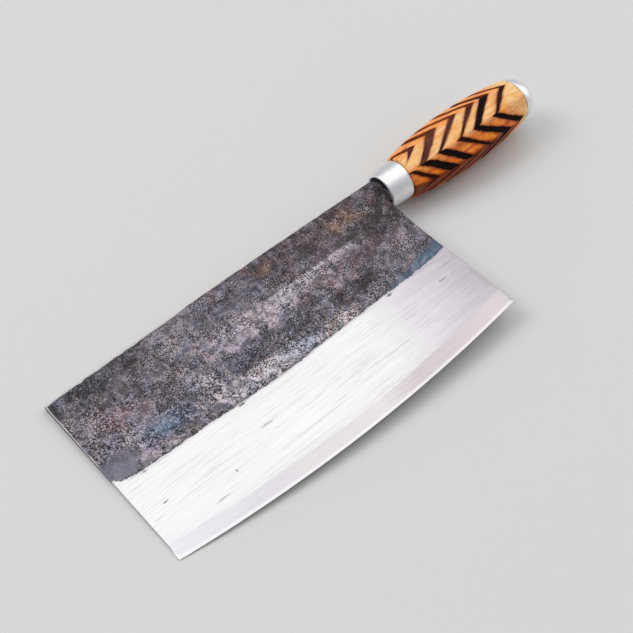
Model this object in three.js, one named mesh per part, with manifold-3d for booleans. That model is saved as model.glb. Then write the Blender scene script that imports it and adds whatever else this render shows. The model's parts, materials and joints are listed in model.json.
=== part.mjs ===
// Forged kitchen cleaver: a tall rectangular blade whose flat tang runs through an eight-sided wooden
// grip, between a front ferrule and a domed end cap, and is riveted over a washer at the butt.
// Millimetres. The knife is built along its own axes, +X along the handle to the butt, +Y to the spine and
// +Z out of the blade's upper face, with zero on the handle's axis at the heel. Then it is laid down to rest.

import * as THREE from 'three';
import { mergeVertices } from 'three/addons/utils/BufferGeometryUtils.js';
import Module from 'manifold-3d';

// Clearance between neighbouring pieces
const seatGap = 0.3;

// Blade outline
const bladeLength = 190;
const bladeDepth = 94.5; // spine corner to edge corner, at the toe and at the heel
const edgeSagitta = 6; // belly of the cutting edge
const spineSagitta = 1.1; // crown of the spine
const spineHeight = 7.5; // spine corner above the handle's axis
const heelSetback = 1.3; // how far the heel edge starts ahead of its lower corner
const heelHollow = 2; // and how far it is dished between the two
const heelHollowSkew = 0.7; // below 1 puts the deepest place of the dish nearer the spine

// Blade section: forged flat band, forged taper, ground bevel, edge bevel
const heelThickness = 3.4;
const toeThickness = 2.6;
const spineChamfer = 0.4;
const flatBandWidth = 21;
const grindDepthToe = 48.5; // the grind line, below the spine, at even steps from toe to heel
const grindDepthForward = 54;
const grindDepthMiddle = 55.4;
const grindDepthBack = 54.3;
const grindDepthHeel = 51.3;
const grindThicknessHeel = 2.8;
const grindThicknessToe = 2.2;
const taperSwell = 0.04; // how far the forged taper bows out between the flat band and the grind line
const bevelHollow = 0.02; // how far the ground bevel is dished by the wheel
const edgeBevelWidth = 6.5;
const edgeBevelThickness = 0.9;
const edgeThickness = 0.2;

// Neck and tang
const neckThickness = 3;
const neckRoot = 12; // how far the neck reaches into the blade
const neckLength = 4.2;
const shoulderLength = 2;
const tangFrontHeight = 8;
const tangTailHeight = 4.4;
const rivetRadius = 3.4;
const rivetHeight = 1;

// Ferrule
const heelClearance = 0.4;
const ferruleLength = 12.9;
const ferruleFrontRadius = 9.3;
const ferruleRearRadius = 10;
const ferruleSwell = 0.25; // how far its side bows out between the ends
const ferruleWall = 1.4; // at the front
const ferruleRound = 0.5;
const mouthDepth = 2; // from the ferrule's front down to the resin

// Grip
const gripLength = 77.1;
const gripSides = 8;
const gripTurn = 36.5; // degrees from the blade's upper face to the nearest ridge, towards the edge
const gripBellyRadius = 15.4; // all grip radii are measured to the ridges
const gripBellyOffset = 37;
const gripFrontProud = 1.6; // ridges above the ferrule
const gripRearProud = 1.1; // ridges above the end cap
const ridgeEase = 1.2; // rounded off each ridge, measured along a flat
const gripEndChamfer = 0.6;
const resinWall = 1.5; // resin above and below the tang where it is tallest

// End cap and washer
const capRadius = 10.8;
const capHeight = 9.2;
const capWall = 1.2;
const capSocketDepth = 2.6;
const washerRadius = 4.4;
const washerThickness = 0.8;
const washerSeatDepth = 1.7; // below the crown of the dome

// Fineness of the curved surfaces
const bladeSteps = 24;
const gripSteps = 16;
const turnedSteps = 48;
const arcSteps = 8;
const mergeDistance = 1e-5;

// Places along the handle's axis
const toeX = -bladeLength;
const middleX = toeX / 2;
const ferruleFrontX = heelClearance - heelSetback;
const ferruleRearX = ferruleFrontX + ferruleLength;
const resinFaceX = ferruleFrontX + mouthDepth;
const spigotFrontX = ferruleFrontX + neckLength + shoulderLength;
const gripFrontX = ferruleRearX + seatGap;
const gripRearX = gripFrontX + gripLength;
const capRimX = gripRearX + seatGap;
const capFloorX = capRimX + capSocketDepth;
const spigotRearX = capFloorX - seatGap;
const capCrownX = capRimX + capHeight;
const washerSeatX = capCrownX - washerSeatDepth;
const washerX = washerSeatX + seatGap;
const rivetX = washerX + washerThickness + seatGap;

// Radii that fit one piece into the next
const ferruleBore = ferruleFrontRadius - ferruleWall;
const neckHalfHeight = Math.sqrt((ferruleBore - seatGap) ** 2 - (neckThickness / 2) ** 2);
const gripBore = tangFrontHeight / 2 + seatGap + resinWall;
const capBore = capRadius - capWall;
const washerSeatRadius = washerRadius + seatGap;

const wasm = await Module();
wasm.setup();

// A closed triangle mesh as a solid that can be joined and cut
function solidOf(geometry) {
  const bare = geometry.clone();
  bare.deleteAttribute('normal');
  bare.deleteAttribute('uv');
  const merged = mergeVertices(bare, mergeDistance);
  const corners = merged.index.array;
  const kept = [];
  for (let i = 0; i < corners.length; i += 3) {
    const [a, b, c] = [corners[i], corners[i + 1], corners[i + 2]];
    if (a !== b && b !== c && c !== a) kept.push(a, b, c);
  }
  const vertProperties = new Float32Array(merged.attributes.position.array);
  return new wasm.Manifold(new wasm.Mesh({ numProp: 3, vertProperties, triVerts: new Uint32Array(kept) }));
}

function geometryOf(solid) {
  const { vertProperties, triVerts } = solid.getMesh();
  const geometry = new THREE.BufferGeometry();
  geometry.setAttribute('position', new THREE.BufferAttribute(vertProperties, 3));
  geometry.setIndex(new THREE.BufferAttribute(triVerts, 1));
  geometry.computeVertexNormals();
  return geometry;
}

// Skins rings of equal count, each a list of [x, y, z] that turns from +Y to +Z. An open loft is closed at
// its ends by strips across the ring, each point to its mirror image. A closed loft runs back to its first
// ring, as a tube with a bore does.
function loft(rings, closed) {
  const count = rings[0].length;
  const corner = (ring, point) => (ring % rings.length) * count + (point % count);
  const index = [];
  const spans = closed ? rings.length : rings.length - 1;
  for (let ring = 0; ring < spans; ring += 1) {
    for (let point = 0; point < count; point += 1) {
      index.push(corner(ring, point), corner(ring, point + 1), corner(ring + 1, point));
      index.push(corner(ring, point + 1), corner(ring + 1, point + 1), corner(ring + 1, point));
    }
  }
  const last = rings.length - 1;
  for (let point = 0; point < count / 2 - 1 && !closed; point += 1) {
    const across = count - 1 - point;
    index.push(corner(0, point), corner(0, across - 1), corner(0, point + 1));
    index.push(corner(0, point), corner(0, across), corner(0, across - 1));
    index.push(corner(last, point), corner(last, point + 1), corner(last, across - 1));
    index.push(corner(last, point), corner(last, across - 1), corner(last, across));
  }
  const geometry = new THREE.BufferGeometry();
  geometry.setAttribute('position', new THREE.Float32BufferAttribute(rings.flat(2), 3));
  geometry.setIndex(index);
  geometry.computeVertexNormals();
  return geometry;
}

// Turns a profile of [x, radius] about the handle's axis
function turned(profile) {
  const points = profile.map(([x, radius]) => new THREE.Vector2(radius, x));
  return new THREE.LatheGeometry(points, turnedSteps).rotateZ(-Math.PI / 2);
}

function steps(count) {
  return Array.from({ length: count + 1 }, (_, i) => i / count);
}

// Height of a shallow arc over its chord, at a distance from the middle of the blade
function arcHeight(sagitta, x) {
  const radius = ((bladeLength / 2) ** 2 + sagitta ** 2) / (2 * sagitta);
  return Math.sqrt(radius ** 2 - (x - middleX) ** 2) - (radius - sagitta);
}

function spineY(x) {
  return spineHeight + arcHeight(spineSagitta, x);
}

function edgeY(x) {
  return spineHeight - bladeDepth - arcHeight(edgeSagitta, x);
}

const grindDepths = [grindDepthToe, grindDepthForward, grindDepthMiddle, grindDepthBack, grindDepthHeel];
const grindLine = new THREE.SplineCurve(grindDepths.map((depth, step) => new THREE.Vector2(step, depth)));

function grindY(x) {
  return spineHeight - grindLine.getPoint(1 - x / toeX).y;
}

function bevelShoulderY(x) {
  return edgeY(x) + edgeBevelWidth;
}

// The heel edge is a little dished, and starts ahead of its lower corner
function heelX(y) {
  const share = THREE.MathUtils.clamp((spineHeight - y) / bladeDepth, 0, 1);
  const dish = Math.sin(Math.PI * share ** heelHollowSkew) ** 2;
  return -heelSetback * (1 - share) - heelHollow * dish;
}

// One cross-section of the blade, at a share of the way from toe to heel: its upper half as
// [y, half thickness] from spine to edge, then the same mirrored
function bladeSection(share) {
  const x = THREE.MathUtils.lerp(toeX, 0, share);
  const half = THREE.MathUtils.lerp(toeThickness, heelThickness, share) / 2;
  const grindHalf = THREE.MathUtils.lerp(grindThicknessToe, grindThicknessHeel, share) / 2;
  const shoulderHalf = edgeBevelThickness / 2;
  const bandY = spineHeight - flatBandWidth;
  const upper = [
    [spineY(x), half - spineChamfer],
    [spineY(x) - spineChamfer, half],
    [bandY, half],
    [(bandY + grindY(x)) / 2, (half + grindHalf) / 2 + taperSwell],
    [grindY(x), grindHalf],
    [(grindY(x) + bevelShoulderY(x)) / 2, (grindHalf + shoulderHalf) / 2 - bevelHollow],
    [bevelShoulderY(x), shoulderHalf],
    [edgeY(x), edgeThickness / 2],
  ];
  const lower = upper.map(([y, z]) => [y, -z]).reverse();
  return [...upper, ...lower].map(([y, z]) => [x + share * heelX(y), y, z]);
}

// Neck and tang, grown by a gap where they serve as the cutter of a slot
function tang(endX, gap) {
  const halfThickness = neckThickness / 2 + gap;
  const bar = [
    [-neckRoot, neckHalfHeight],
    [ferruleFrontX + neckLength, neckHalfHeight],
    [spigotFrontX, tangFrontHeight / 2],
    [capFloorX, tangTailHeight / 2],
    [endX, tangTailHeight / 2],
  ];
  const rings = bar.map(([x, half]) => [
    [x, half + gap, halfThickness],
    [x, -half - gap, halfThickness],
    [x, -half - gap, -halfThickness],
    [x, half + gap, -halfThickness],
  ]);
  return solidOf(loft(rings, false));
}

// Low dome hammered up from the end of the tang
function rivetHead() {
  const dome = steps(arcSteps).map((t) => {
    const angle = (t * Math.PI) / 2;
    return [rivetX + rivetHeight * Math.sin(angle), rivetRadius * Math.cos(angle)];
  });
  return solidOf(turned([[rivetX, 0], ...dome]));
}

function blade() {
  const forged = solidOf(loft(steps(bladeSteps).map(bladeSection), false));
  return geometryOf(forged.add(tang(rivetX + rivetHeight / 2, 0)).add(rivetHead()));
}

// Fills the ferrule's mouth round the neck, and the bore round the tang
function beddingResin() {
  const plug = turned([
    [resinFaceX, 0],
    [resinFaceX, ferruleBore - seatGap],
    [spigotFrontX - seatGap, ferruleBore - seatGap],
    [spigotFrontX - seatGap, gripBore - seatGap],
    [spigotRearX - seatGap, gripBore - seatGap],
    [spigotRearX - seatGap, 0],
  ]);
  return geometryOf(solidOf(plug).subtract(tang(capCrownX, seatGap)));
}

// Tapered collar with a slightly bowed side and a rounded front lip
function ferrule() {
  const side = steps(arcSteps).map((t) => [
    THREE.MathUtils.lerp(ferruleFrontX + ferruleRound, ferruleRearX, t),
    THREE.MathUtils.lerp(ferruleFrontRadius, ferruleRearRadius, t) + ferruleSwell * Math.sin(Math.PI * t),
  ]);
  return turned([
    [ferruleRearX, ferruleBore],
    [ferruleFrontX, ferruleBore],
    [ferruleFrontX, ferruleFrontRadius - ferruleRound],
    ...side,
    [ferruleRearX, ferruleBore],
  ]);
}

// Radius of the grip's ridges: a barrel, fattest at the belly
function gripRadius(x) {
  const fromBelly = x - gripFrontX - gripBellyOffset;
  const forward = fromBelly < 0;
  const endRadius = forward ? ferruleRearRadius + gripFrontProud : capRadius + gripRearProud;
  const reach = forward ? gripBellyOffset : gripLength - gripBellyOffset;
  return gripBellyRadius - (gripBellyRadius - endRadius) * (fromBelly / reach) ** 2;
}

// Directions round the grip: each ridge is an arc of three points between two flats
function gripRing(x, radiusAt) {
  const ring = [];
  for (let side = 0; side < gripSides; side += 1) {
    const ridge = THREE.MathUtils.degToRad(90 + gripTurn) + (side * 2 * Math.PI) / gripSides;
    for (const place of [-1, 0, 1]) {
      const [turn, radius] = radiusAt(place);
      const angle = ridge + turn;
      ring.push([x, radius * Math.cos(angle), radius * Math.sin(angle)]);
    }
  }
  return ring;
}

// Ring of the eight-sided body, with eased ridges
function facetedRing(x, ridgeRadius) {
  const halfTurn = Math.PI / gripSides;
  const flat = ridgeRadius * Math.cos(halfTurn);
  const along = ridgeRadius * Math.sin(halfTurn) - ridgeEase;
  const easeTurn = halfTurn - Math.atan2(along, flat);
  const crest = ridgeRadius - (ridgeEase / Math.tan(halfTurn)) * (1 / Math.cos(halfTurn) - 1);
  return gripRing(x, (place) => (place === 0 ? [0, crest] : [place * easeTurn, Math.hypot(flat, along)]));
}

function roundRing(x, radius) {
  const third = (2 * Math.PI) / (gripSides * 3);
  return gripRing(x, (place) => [place * third, radius]);
}

// Wooden grip with a spigot at each end and a bore for the tang
function grip() {
  const body = steps(gripSteps).map((t) => {
    const x = THREE.MathUtils.lerp(gripFrontX + gripEndChamfer, gripRearX - gripEndChamfer, t);
    return facetedRing(x, gripRadius(x));
  });
  return loft(
    [
      roundRing(spigotFrontX, gripBore),
      roundRing(spigotFrontX, ferruleBore - seatGap),
      roundRing(gripFrontX, ferruleBore - seatGap),
      facetedRing(gripFrontX, gripRadius(gripFrontX) - gripEndChamfer),
      ...body,
      facetedRing(gripRearX, gripRadius(gripRearX) - gripEndChamfer),
      roundRing(gripRearX, capBore - seatGap),
      roundRing(spigotRearX, capBore - seatGap),
      roundRing(spigotRearX, gripBore),
    ],
    true,
  );
}

// Domed cap with a socket for the grip's rear spigot, a seat for the washer and a slot for the tang
function endCap() {
  const seatAngle = Math.acos(washerSeatRadius / capRadius);
  const dome = steps(arcSteps).map((t) => [
    capRimX + capHeight * Math.sin(seatAngle * t),
    capRadius * Math.cos(seatAngle * t),
  ]);
  const body = turned([
    [capFloorX, 0],
    [capFloorX, capBore],
    [capRimX, capBore],
    ...dome,
    [washerSeatX, washerSeatRadius],
    [washerSeatX, 0],
  ]);
  return geometryOf(solidOf(body).subtract(tang(capCrownX + capHeight, seatGap)));
}

function rivetWasher() {
  const disc = turned([
    [washerX, 0],
    [washerX, washerRadius],
    [washerX + washerThickness, washerRadius],
    [washerX + washerThickness, 0],
  ]);
  return geometryOf(solidOf(disc).subtract(tang(capCrownX + capHeight, seatGap)));
}

// Finishes
const forgedSteel = new THREE.MeshStandardMaterial({ color: 0x8a8686, roughness: 0.45, metalness: 0.9 });
const satinAluminium = new THREE.MeshStandardMaterial({ color: 0xd4d6da, roughness: 0.35, metalness: 1 });
const scorchedWood = new THREE.MeshStandardMaterial({ color: 0xc98a4a, roughness: 0.6, metalness: 0 });
const darkResin = new THREE.MeshStandardMaterial({ color: 0x1c1917, roughness: 0.7, metalness: 0 });
const plainSteel = new THREE.MeshStandardMaterial({ color: 0x9c9a98, roughness: 0.4, metalness: 1 });

const knife = new THREE.Group();

function addPiece(name, geometry, material) {
  const mesh = new THREE.Mesh(geometry, material);
  mesh.name = name;
  knife.add(mesh);
  return mesh;
}

addPiece('blade', blade(), forgedSteel);
addPiece('bedding_resin', beddingResin(), darkResin);
addPiece('ferrule', ferrule(), satinAluminium);
const gripMesh = addPiece('handle_grip', grip(), scorchedWood);
addPiece('end_cap', endCap(), satinAluminium);
addPiece('rivet_washer', rivetWasher(), plainSteel);

// At rest the knife lies on the front end of its ground bevel and on the belly of the grip: a roll levels
// the bevel across the toe, then a pitch brings the grip down to the same plane.
const bevelDrop = (grindThicknessToe - edgeBevelThickness) / 2;
knife.rotation.x = Math.atan2(bevelDrop, grindY(toeX) - bevelShoulderY(toeX));
knife.updateMatrixWorld();
const toeContact = new THREE.Vector3(toeX, grindY(toeX), -grindThicknessToe / 2);
toeContact.applyMatrix4(knife.matrixWorld);

const gripPoints = gripMesh.geometry.attributes.position;
const gripPoint = new THREE.Vector3();
let pitch = 0;
for (let i = 0; i < gripPoints.count; i += 1) {
  gripPoint.fromBufferAttribute(gripPoints, i).applyMatrix4(gripMesh.matrixWorld);
  pitch = Math.max(pitch, Math.atan2(toeContact.z - gripPoint.z, gripPoint.x - toeContact.x));
}

const cleaver = new THREE.Group();
cleaver.add(knife);
cleaver.rotation.y = -pitch;

// Zero ends up on the table, under the middle of the knife
const reach = new THREE.Box3().setFromObject(cleaver, true);
const middle = reach.getCenter(new THREE.Vector3());
cleaver.position.set(-middle.x, -middle.y, -reach.min.z);
cleaver.updateMatrixWorld(true);

export default cleaver;
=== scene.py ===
import json
import math
import random

import bpy
import numpy as np
from mathutils import Matrix, Vector, noise


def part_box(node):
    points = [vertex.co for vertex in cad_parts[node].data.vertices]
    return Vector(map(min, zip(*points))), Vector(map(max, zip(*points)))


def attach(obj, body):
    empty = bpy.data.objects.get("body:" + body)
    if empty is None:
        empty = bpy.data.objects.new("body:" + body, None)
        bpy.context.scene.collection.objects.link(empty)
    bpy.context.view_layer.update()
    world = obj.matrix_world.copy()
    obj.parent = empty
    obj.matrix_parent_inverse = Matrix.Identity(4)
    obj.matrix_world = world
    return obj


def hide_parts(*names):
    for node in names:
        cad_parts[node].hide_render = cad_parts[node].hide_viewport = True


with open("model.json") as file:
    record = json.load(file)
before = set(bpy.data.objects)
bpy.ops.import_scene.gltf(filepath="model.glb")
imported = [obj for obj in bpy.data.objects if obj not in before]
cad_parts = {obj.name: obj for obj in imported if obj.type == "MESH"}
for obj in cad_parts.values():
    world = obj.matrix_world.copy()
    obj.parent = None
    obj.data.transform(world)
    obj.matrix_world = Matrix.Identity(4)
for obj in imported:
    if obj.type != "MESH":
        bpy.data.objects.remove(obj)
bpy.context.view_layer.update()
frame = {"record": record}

# The knife's own axes
# At rest the knife lies a little tilted, on its toe and on the belly of its grip. Each piece is modelled
# along the knife's own axes, +X down the handle to the butt, +Y to the spine and +Z out of the upper face,
# with zero on the handle's axis at the heel. The record's two flat faces and the washer say how it lies.
mm = 0.001
heel_to_washer = 97.9 * mm
face_axes = {mount["name"]: Vector(mount["axis"]) for mount in frame["record"]["mounts"]}
out_of_face = (face_axes["rack_face_upper"] - face_axes["rack_face_lower"]).normalized()
along_handle = Vector((0, 1, 0)).cross(out_of_face).normalized()
to_spine = out_of_face.cross(along_handle)
washer_middle = sum(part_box("rivet_washer"), Vector()) / 2
laid_down = Matrix((along_handle, to_spine, out_of_face)).transposed().to_4x4()
laid_down.translation = washer_middle - heel_to_washer * along_handle

# Blade
# One forging of carbon steel, hammered out, scaled black in the fire and left so on its upper half. The
# lower half is ground bright, with a narrow bevel to the edge. Its neck goes on through the handle as a flat
# tang, and the end of the tang is hammered into a rivet head over the washer.
blade_length = 190 * mm
blade_depth = 94.5 * mm
edge_sagitta = 6 * mm
spine_sagitta = 1.1 * mm
spine_height = 7.5 * mm
heel_setback = 1.3 * mm
heel_hollow = 2 * mm
heel_hollow_skew = 0.7
flat_band_width = 20.5 * mm
# The grind line: places along the blade and depths below the spine's chord
grind_line = np.array([
    (-190, 48.5), (-186, 51.2), (-180, 52.6), (-170, 53.2), (-142, 53.9), (-120, 55),
    (-95, 55.5), (-70, 54.4), (-47, 54), (-22, 54), (-10, 53.2), (0, 51.3)]) * mm
edge_bevel_width = 6.5 * mm
honed_width = 0.7 * mm
heel_thickness = 3.4 * mm
toe_thickness = 2.6 * mm
grind_thickness_heel = 2.8 * mm
grind_thickness_toe = 2.2 * mm
edge_bevel_thickness = 0.9 * mm
honed_thickness = 0.3 * mm
edge_thickness = 0.2 * mm
spine_chamfer = 0.4 * mm
end_chamfer = 0.3 * mm
# Rows of faces in each strip from the spine to the edge, and columns along the blade
strips = {"spine": 1, "flat band": 22, "forged taper": 38, "ground bevel": 36, "edge bevel": 5, "honed": 2}
columns = 200
strip_rows = np.cumsum([0, *strips.values()])
rows = int(strip_rows[-1])


def arc_height(sagitta, x):
    """Height of a shallow arc over its chord, which is as long as the blade."""
    radius = ((blade_length / 2) ** 2 + sagitta**2) / (2 * sagitta)
    return math.sqrt(radius**2 - (x + blade_length / 2) ** 2) - (radius - sagitta)


def grind_y(x):
    return spine_height - float(np.interp(x, grind_line[:, 0], grind_line[:, 1]))


def edge_y(x):
    return spine_height - blade_depth - arc_height(edge_sagitta, x)


def heel_x(y):
    share = min(max((spine_height - y) / blade_depth, 0), 1)
    dish = math.sin(math.pi * share**heel_hollow_skew) ** 2
    return -heel_setback * (1 - share) - heel_hollow * dish


def section(x):
    """The lines that run along the blade, as (y, half thickness) from spine to edge."""
    to_toe = -x / blade_length
    half = (heel_thickness + (toe_thickness - heel_thickness) * to_toe) / 2
    ground = (grind_thickness_heel + (grind_thickness_toe - grind_thickness_heel) * to_toe) / 2
    spine = spine_height + arc_height(spine_sagitta, x)
    return [
        (spine, half - spine_chamfer),
        (spine - spine_chamfer, half),
        (spine_height - flat_band_width, half),
        (grind_y(x), ground),
        (edge_y(x) + edge_bevel_width, edge_bevel_thickness / 2),
        (edge_y(x) + honed_width, honed_thickness / 2),
        (edge_y(x), edge_thickness / 2),
    ]


# The scale's relief: sizes and depths of hammer marks, pits and flakes, which differ on the two sides
hammer_mark, scale_pit, scale_flake = 17 * mm, 2.6 * mm, 11 * mm
hammer_depth, pit_depth, flake_depth = 0.12 * mm, 0.07 * mm, 0.05 * mm
pit_threshold, flake_threshold = 0.1, 0.28
sides_apart = 90 * mm


def forged_dents(x, y, side):
    """How far the hammered, scaled face lies under its flat, at a place on one side of the blade."""
    place = Vector((x, y, side * sides_apart))
    hammered = 0.5 + 0.5 * noise.noise(place / hammer_mark)
    pitted = max(noise.noise(place / scale_pit) - pit_threshold, 0)
    flaked = 1 if noise.fractal(place / scale_flake, 0.8, 2, 4) > flake_threshold else 0
    return hammer_depth * hammered + pit_depth * pitted + flake_depth * flaked


# The forging step: its height, how it falls off below, and where it fades in and out along the blade, in mm
step_height, step_fall, step_sharpness = 0.22, 14, 4
step_toe, step_toe_fade, step_heel, step_heel_fade = -150, 70, -18, 14


def forging_ridge(x, y):
    """The step below the flat band, which fades out towards the toe and the heel."""
    from_step = (spine_height - flat_band_width - y) / mm
    along = min(max((x / mm - step_toe) / step_toe_fade, 0), 1)
    along *= min(max((step_heel - x / mm) / step_heel_fade, 0), 1)
    rise = step_height * mm * along / (1 + math.exp(-from_step * step_sharpness))
    return rise * math.exp(-max(from_step, 0) / step_fall)


bpy.ops.object.select_all(action="DESELECT")
bpy.ops.mesh.primitive_grid_add(x_subdivisions=columns, y_subdivisions=rows, size=2)
blade = bpy.context.object
bpy.ops.object.mode_set(mode="EDIT")
bpy.ops.mesh.select_all(action="SELECT")
bpy.ops.mesh.extrude_region_move(TRANSFORM_OT_translate={"value": (0, 0, -2)})
bpy.ops.object.mode_set(mode="OBJECT")

# The two sheets of the flat box are drawn out to the blade's outline and thickness. The scale's relief fades
# out across the grind line.
end_share = end_chamfer / blade_length
least_end_share = 0.4
relief_fade = 1.5
for vertex in blade.data.vertices:
    column = round((vertex.co.x + 1) / 2 * columns)
    row = round((1 - vertex.co.y) / 2 * rows)
    side = 1 if vertex.co.z > -1 else -1
    share = float(np.interp(column, [0, 1, columns - 1, columns], [0, end_share, 1 - end_share, 1]))
    x = (share - 1) * blade_length
    lines = section(x)
    y = float(np.interp(row, strip_rows, [line[0] for line in lines]))
    half = float(np.interp(row, strip_rows, [line[1] for line in lines]))
    above_grind = (y - grind_y(x)) / mm
    if column in (0, columns):
        half = max(half - end_chamfer, least_end_share * half)
    elif row > 1:
        scaled = min(max(above_grind / relief_fade + 0.5, 0), 1)
        half -= scaled * (forged_dents(x, y, side) + forging_ridge(x, y))
    vertex.co = (x + share * heel_x(y), y, side * half)

# The neck and the tang are drawn out of the heel, ring after ring, and the end is upset into a rivet head. A
# ring is a place along the handle with a half height or a radius, in mm.
neck_end, neck_half_height = 3.3, 7.45
shoulder_end, shoulder_half_height = 5.3, 4
taper_end, tang_end, tang_half_height = 92.3, 98.6, 2.2
tang_half_thickness = 1.5
tang_rings = [
    (neck_end, neck_half_height), (shoulder_end, shoulder_half_height),
    (taper_end, tang_half_height), (tang_end, tang_half_height)]
rivet_rings = [(tang_end, 3.4), (98.9, 3.3), (99.2, 2.85), (99.45, 1.9), (99.6, 0.7)]
heel_zone = -5 * mm
bpy.ops.object.mode_set(mode="EDIT")
bpy.ops.mesh.select_mode(type="FACE")
bpy.ops.mesh.select_all(action="SELECT")
bpy.ops.mesh.normals_make_consistent(inside=False)
bpy.ops.mesh.select_all(action="DESELECT")
bpy.ops.object.mode_set(mode="OBJECT")
for face in blade.data.polygons:
    at_heel = face.normal.x > 0.8 and face.center.x > heel_zone
    face.select = at_heel and abs(face.center.y) < neck_half_height * mm


def draw_out(shape):
    """Extrudes the selected end of the tang and puts each point of the new end where shape says."""
    bpy.ops.object.mode_set(mode="EDIT")
    bpy.ops.mesh.extrude_region_move(TRANSFORM_OT_translate={"value": (mm, 0, 0)})
    bpy.ops.object.mode_set(mode="OBJECT")
    end = [vertex for vertex in blade.data.vertices if vertex.select]
    reach = max(vertex.co.y for vertex in end)
    end.sort(key=lambda vertex: math.atan2(vertex.co.z, vertex.co.y))
    for step, vertex in enumerate(end):
        vertex.co = shape(vertex.co, reach, 2 * math.pi * (step + 0.5) / len(end) - math.pi)


for ring_x, half_height in tang_rings:
    draw_out(lambda co, reach, _: (
        ring_x * mm, co.y / reach * half_height * mm, math.copysign(tang_half_thickness * mm, co.z)))
for ring_x, radius in rivet_rings:
    draw_out(lambda co, reach, angle: (
        ring_x * mm, radius * mm * math.cos(angle), radius * mm * math.sin(angle)))

# How far each point lies below the spine, below the grind line and above the edge, in mm, for the finish. The
# rivet head counts as far below the grind line, because hammering leaves it bare.
rivet_start, bare_depth = 95 * mm, 20
below_grind = blade.data.attributes.new("below_grind", "FLOAT", "POINT")
above_edge = blade.data.attributes.new("above_edge", "FLOAT", "POINT")
below_spine = blade.data.attributes.new("below_spine", "FLOAT", "POINT")
for vertex in blade.data.vertices:
    x, y, _ = vertex.co
    on_blade = min(max(x, -blade_length), 0)
    below_grind.data[vertex.index].value = bare_depth if x > rivet_start else (grind_y(on_blade) - y) / mm
    above_edge.data[vertex.index].value = (y - edge_y(on_blade)) / mm
    below_spine.data[vertex.index].value = (spine_height + arc_height(spine_sagitta, on_blade) - y) / mm


def choose(piece):
    bpy.ops.object.select_all(action="DESELECT")
    piece.select_set(True)
    bpy.context.view_layer.objects.active = piece


def lay_down(piece, name, smooth_angle):
    """Names a finished piece and puts its place at rest into its mesh."""
    choose(piece)
    piece.name = name
    piece.data.name = name
    piece.matrix_world = laid_down
    bpy.ops.object.transform_apply(location=True, rotation=True, scale=True)
    bpy.ops.object.shade_smooth_by_angle(angle=math.radians(smooth_angle))


lay_down(blade, "forged_blade", 25)
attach(blade, "root")
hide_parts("blade")


def linear(colour):
    """An sRGB hex colour as linear light."""
    parts = [int(colour[i:i + 2], 16) / 255 for i in (1, 3, 5)]
    return (*[c / 12.92 if c <= 0.04045 else ((c + 0.055) / 1.055) ** 2.4 for c in parts], 1)


def add(tree, kind, inputs, output=0, stops=(), **settings):
    """Adds a node with its settings, its ramp's stops and its links, and gives back one of its outputs.
    MapRange maps the range in sockets 1 and 2 to that in 3 and 4. Mix has its share in socket 0, two numbers
    in 2 and 3 or two colours in 6 and 7, and gives a mixed colour as output 2."""
    made = tree.nodes.new("ShaderNode" + kind)
    for name, value in settings.items():
        setattr(made, name, value)
    if stops:
        ramp = made.color_ramp.elements
        ramp[0].position, ramp[1].position = stops[0][0], stops[-1][0]
        for position, _ in stops[1:-1]:
            ramp.new(position)
        for element, (_, colour) in zip(ramp, stops):
            element.color = linear(colour)
    for socket, value in inputs.items():
        if isinstance(value, bpy.types.NodeSocket):
            tree.links.new(value, made.inputs[socket])
        else:
            made.inputs[socket].default_value = value
    return made.outputs[output]


def finish_of(piece, name):
    """A new material on a piece: its node tree, its shader and its places along the knife's axes, in mm."""
    made = bpy.data.materials.new(name)
    made.use_nodes = True
    piece.data.materials.clear()
    piece.data.materials.append(made)
    tree = made.node_tree
    turn = laid_down.inverted()
    place = add(tree, "Mapping", {
        "Vector": add(tree, "TexCoord", {}, "Object"),
        "Location": turn.translation / mm,
        "Rotation": turn.to_euler(),
        "Scale": (1 / mm, 1 / mm, 1 / mm),
    })
    return tree, tree.nodes["Principled BSDF"], place


# Forged carbon steel. Forge scale is a brittle black oxide: the eye sees a matt, grainy, mottled grey brown
# with flaked light specks and straw, purple and blue heat tints. The ground half is bare metal with fine
# lines along the blade, so it is bright and softly mirrors the room.
steel, shader, place = finish_of(blade, "forged_carbon_steel")
below = add(steel, "Attribute", {}, "Fac", attribute_name="below_grind")
above = add(steel, "Attribute", {}, "Fac", attribute_name="above_edge")

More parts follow.
